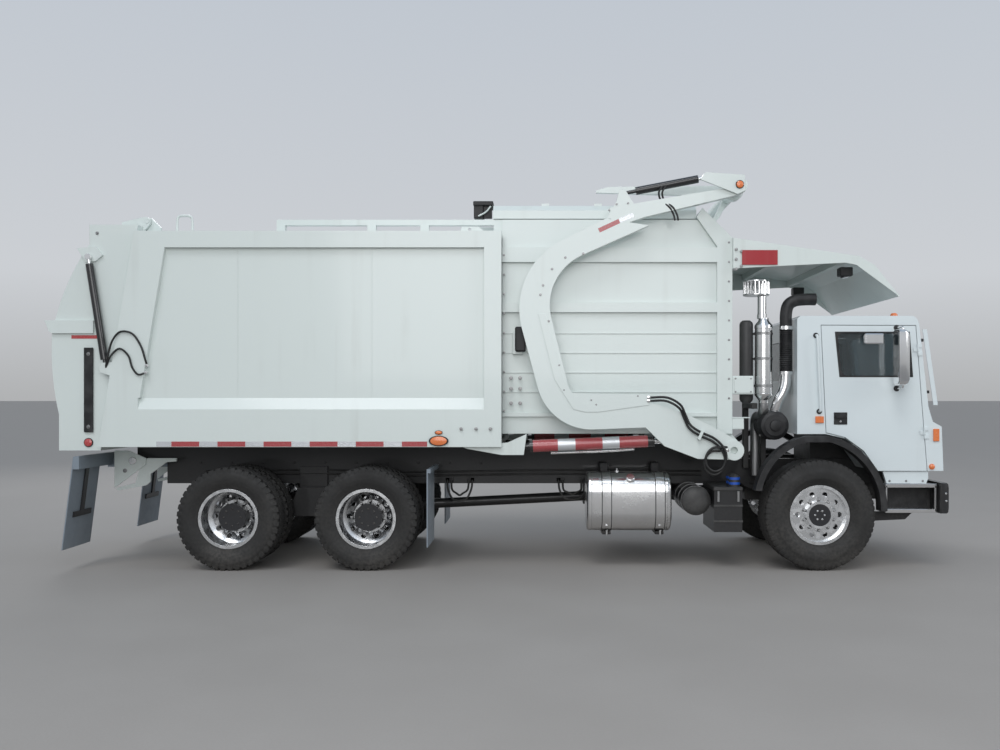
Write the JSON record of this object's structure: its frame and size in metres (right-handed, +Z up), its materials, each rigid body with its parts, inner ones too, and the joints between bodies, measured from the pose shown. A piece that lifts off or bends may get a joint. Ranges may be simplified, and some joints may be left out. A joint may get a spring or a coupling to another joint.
{
  "type": "front-loading garbage truck",
  "caption": "Front-loading garbage truck with over-the-cab lift arms, folding forks, hopper with a sliding top door, storage body with a top-hinged tailgate, and a cab-over chassis.",
  "frame": {"origin": "on the ground under the middle of the truck's length and width", "axes": "+X forward, +Y to the driver's left, +Z up"},
  "size_m": [9.176, 2.74, 4.0165],
  "materials": {
    "body_paint": "gloss white with a slight green tone",
    "cab_paint": "gloss white with a slight blue tone",
    "chassis_paint": "black semi-gloss",
    "trim_black": "textured black",
    "tank_alloy": "brushed and polished",
    "wheel_alloy": "polished",
    "bright_steel": "polished",
    "cylinder_black": "black gloss",
    "tyre_rubber": "matt",
    "flap_rubber": "matt grey-black",
    "window_glass": "tinted",
    "seat_trim": "dark grey vinyl",
    "engine_iron": "oily cast iron"
  },
  "bodies": {
    "chassis": {"air_intake": "trim_black", "bumper": "chassis_paint", "cab_glass": "window_glass", "cab_interior": "seat_trim", "cab_shell": "cab_paint", "cab_steps": "tank_alloy", "canopy": "body_paint", "chassis_frame": "chassis_paint", "driveshaft": "chassis_paint", "engine": "engine_iron", "exhaust": "bright_steel", "fenders": "trim_black", "front_axle": "chassis_paint", "fuel_tank": "tank_alloy", "hopper": "body_paint", "mudflaps": "flap_rubber", "rear_axles": "chassis_paint", "side_boxes": "chassis_paint", "storage_body": "body_paint"},
    "lift_arms": {"arm_right": "body_paint", "arm_left": "body_paint", "torque_tube": "body_paint"},
    "forks": {"fork_shaft": "body_paint", "fork_right": "body_paint", "fork_left": "body_paint"},
    "lift_barrels": {"lift_cylinder_barrels": "cylinder_black"},
    "lift_rods": {"lift_cylinder_rods": "bright_steel"},
    "fork_barrels": {"fork_cylinder_barrels": "cylinder_black"},
    "fork_rods": {"fork_cylinder_rods": "bright_steel"},
    "tailgate": {"tailgate": "body_paint"},
    "tailgate_barrels": {"tailgate_cylinder_barrels": "cylinder_black"},
    "tailgate_rods": {"tailgate_cylinder_rods": "bright_steel"},
    "top_door": {"top_door": "body_paint"},
    "cab_door_right": {"door_right": "cab_paint", "door_glass_right": "window_glass", "mirror_right": "bright_steel"},
    "knuckle_right": {"knuckle_right": "chassis_paint"},
    "front_wheel_right": {"front_tyre_right": "tyre_rubber", "front_rim_right": "wheel_alloy"},
    "middle_wheels_right": {"middle_tyres_right": "tyre_rubber", "middle_rims_right": "wheel_alloy"},
    "rear_wheels_right": {"rear_tyres_right": "tyre_rubber", "rear_rims_right": "wheel_alloy"},
    "cab_door_left": {"door_left": "cab_paint", "door_glass_left": "window_glass", "mirror_left": "bright_steel"},
    "knuckle_left": {"knuckle_left": "chassis_paint"},
    "front_wheel_left": {"front_tyre_left": "tyre_rubber", "front_rim_left": "wheel_alloy"},
    "middle_wheels_left": {"middle_tyres_left": "tyre_rubber", "middle_rims_left": "wheel_alloy"},
    "rear_wheels_left": {"rear_tyres_left": "tyre_rubber", "rear_rims_left": "wheel_alloy"}
  },
  "joints": [
    {"name": "lift_arms", "type": "hinge", "parent": "chassis", "child": "lift_arms", "pos_m": [2.395, 0, 1.226], "axis": [0, 1, 0], "range_deg": [0, 105]},
    {"name": "forks", "type": "hinge", "parent": "lift_arms", "child": "forks", "pos_m": [2.4462, 0, 3.8925], "axis": [0, 1, 0], "range_deg": [0, 85]},
    {"name": "tailgate", "type": "hinge", "parent": "chassis", "child": "tailgate", "pos_m": [-3.608, 0, 3.575], "axis": [0, 1, 0], "range_deg": [0, 90]},
    {"name": "lift_cylinder_swing", "type": "hinge", "parent": "chassis", "child": "lift_barrels", "pos_m": [0.22, 0, 1.255], "axis": [0, 1, 0], "range_deg": [-11.94, 0]},
    {"name": "lift_cylinder_stroke", "type": "slide", "parent": "lift_barrels", "child": "lift_rods", "axis": [0.9991, 0, 0.0428], "range_m": [0, 1.023]},
    {"name": "fork_cylinder_swing", "type": "hinge", "parent": "lift_arms", "child": "fork_barrels", "pos_m": [1.2732, 0, 3.8145], "axis": [0, 1, 0], "range_deg": [-8.53, 0]},
    {"name": "fork_cylinder_stroke", "type": "slide", "parent": "fork_barrels", "child": "fork_rods", "axis": [0.9817, 0, 0.1907], "range_m": [0, 0.4534]},
    {"name": "tailgate_cylinder_swing", "type": "hinge", "parent": "chassis", "child": "tailgate_barrels", "pos_m": [-3.9524, 0, 2.062], "axis": [0, 1, 0], "range_deg": [0, 8.13]},
    {"name": "tailgate_cylinder_stroke", "type": "slide", "parent": "tailgate_barrels", "child": "tailgate_rods", "axis": [-0.156, 0, 0.9878], "range_m": [0, 0.9051]},
    {"name": "top_door", "type": "slide", "parent": "chassis", "child": "top_door", "axis": [-1, 0, 0], "range_m": [0, 2.1]},
    {"name": "cab_door_right", "type": "hinge", "parent": "chassis", "child": "cab_door_right", "pos_m": [4.399, -1.112, 1.008], "axis": [0.078, 0, -0.997], "range_deg": [-70, 0]},
    {"name": "steer_right", "type": "hinge", "parent": "chassis", "child": "knuckle_right", "pos_m": [3.289, -0.85, 0.562], "axis": [0, 0, 1], "range_deg": [-28, 28]},
    {"name": "front_wheel_right", "type": "hinge", "parent": "knuckle_right", "child": "front_wheel_right", "pos_m": [3.289, -0.99, 0.562], "axis": [0, 1, 0], "continuous": true},
    {"name": "middle_wheels_right", "type": "hinge", "parent": "chassis", "child": "middle_wheels_right", "pos_m": [-1.3225, -0.888, 0.525], "axis": [0, 1, 0], "continuous": true},
    {"name": "rear_wheels_right", "type": "hinge", "parent": "chassis", "child": "rear_wheels_right", "pos_m": [-2.7195, -0.888, 0.525], "axis": [0, 1, 0], "continuous": true},
    {"name": "cab_door_left", "type": "hinge", "parent": "chassis", "child": "cab_door_left", "pos_m": [4.399, 1.112, 1.008], "axis": [-0.078, 0, 0.997], "range_deg": [-70, 0]},
    {"name": "steer_left", "type": "hinge", "parent": "chassis", "child": "knuckle_left", "pos_m": [3.289, 0.85, 0.562], "axis": [0, 0, 1], "range_deg": [-28, 28]},
    {"name": "front_wheel_left", "type": "hinge", "parent": "knuckle_left", "child": "front_wheel_left", "pos_m": [3.289, 0.99, 0.562], "axis": [0, 1, 0], "continuous": true},
    {"name": "middle_wheels_left", "type": "hinge", "parent": "chassis", "child": "middle_wheels_left", "pos_m": [-1.3225, 0.888, 0.525], "axis": [0, 1, 0], "continuous": true},
    {"name": "rear_wheels_left", "type": "hinge", "parent": "chassis", "child": "rear_wheels_left", "pos_m": [-2.7195, 0.888, 0.525], "axis": [0, 1, 0], "continuous": true}
  ],
  "couplings": [
    {"joint": "lift_cylinder_swing", "follows": "lift_arms", "ratio": -0.10898},
    {"joint": "lift_cylinder_stroke", "follows": "lift_arms", "m_per_rad": 0.55551},
    {"joint": "fork_cylinder_swing", "follows": "forks", "ratio": -0.094449},
    {"joint": "fork_cylinder_stroke", "follows": "forks", "m_per_rad": 0.30226},
    {"joint": "tailgate_cylinder_swing", "follows": "tailgate", "ratio": 0.084803},
    {"joint": "tailgate_cylinder_stroke", "follows": "tailgate", "m_per_rad": 0.573},
    {"joint": "steer_left", "follows": "steer_right", "ratio": 1}
  ]
}
